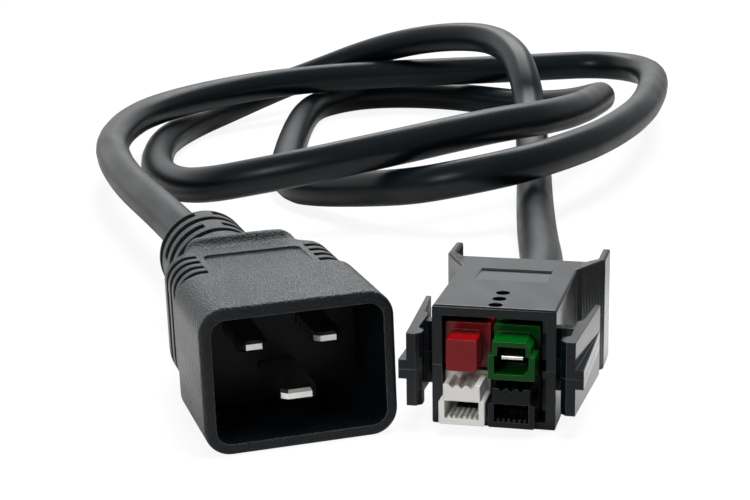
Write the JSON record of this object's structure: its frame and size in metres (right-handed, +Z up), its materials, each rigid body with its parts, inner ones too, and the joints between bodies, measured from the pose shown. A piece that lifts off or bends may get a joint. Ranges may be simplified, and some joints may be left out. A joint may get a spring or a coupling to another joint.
{
  "type": "iec power cord",
  "caption": "Power cord with a shrouded flat-blade inlet plug at one end, a long black flexible cable and a latching modular power connector at the other.",
  "frame": {"origin": "on the plug's flat underside, below the middle of its shroud, on the surface that the cord lies on", "axes": "+Z up; the plug lies along Y and mates towards -Y; its cable leaves towards +Y; the connector lies beside it on the +X side"},
  "size_m": [0.1974, 0.3277, 0.032],
  "materials": {
    "plug_pvc": "satin grained black PVC",
    "carrier_plastic": "matt black",
    "plated_metal": "bright nickel plate",
    "brown_core": "smooth brown PVC",
    "blue_core": "smooth blue PVC",
    "green_core": "smooth green and yellow PVC",
    "cable_pvc": "satin black PVC",
    "shell_plastic": "semi-gloss black polycarbonate",
    "red_plastic": "semi-gloss red polycarbonate",
    "green_plastic": "semi-gloss green polycarbonate",
    "white_plastic": "semi-gloss white polycarbonate",
    "black_plastic": "semi-gloss black polycarbonate",
    "contact_silver": "silver-plated copper",
    "spring_steel": "stainless steel"
  },
  "bodies": {
    "root": {"plug_overmould": "plug_pvc", "pin_carrier": "carrier_plastic", "line_pin": "plated_metal", "neutral_pin": "plated_metal", "earth_pin": "plated_metal", "line_core": "brown_core", "neutral_core": "blue_core", "earth_core": "green_core", "cable": "cable_pvc", "upper_shell": "shell_plastic", "lower_shell": "shell_plastic", "red_spacer": "red_plastic", "earth_housing": "green_plastic", "neutral_housing": "white_plastic", "line_housing": "black_plastic", "earth_contact": "contact_silver", "neutral_contact": "contact_silver", "line_contact": "contact_silver", "earth_spring": "spring_steel", "neutral_spring": "spring_steel", "line_spring": "spring_steel", "earth_lead": "green_core", "neutral_lead": "blue_core", "line_lead": "brown_core"}
  },
  "joints": []
}
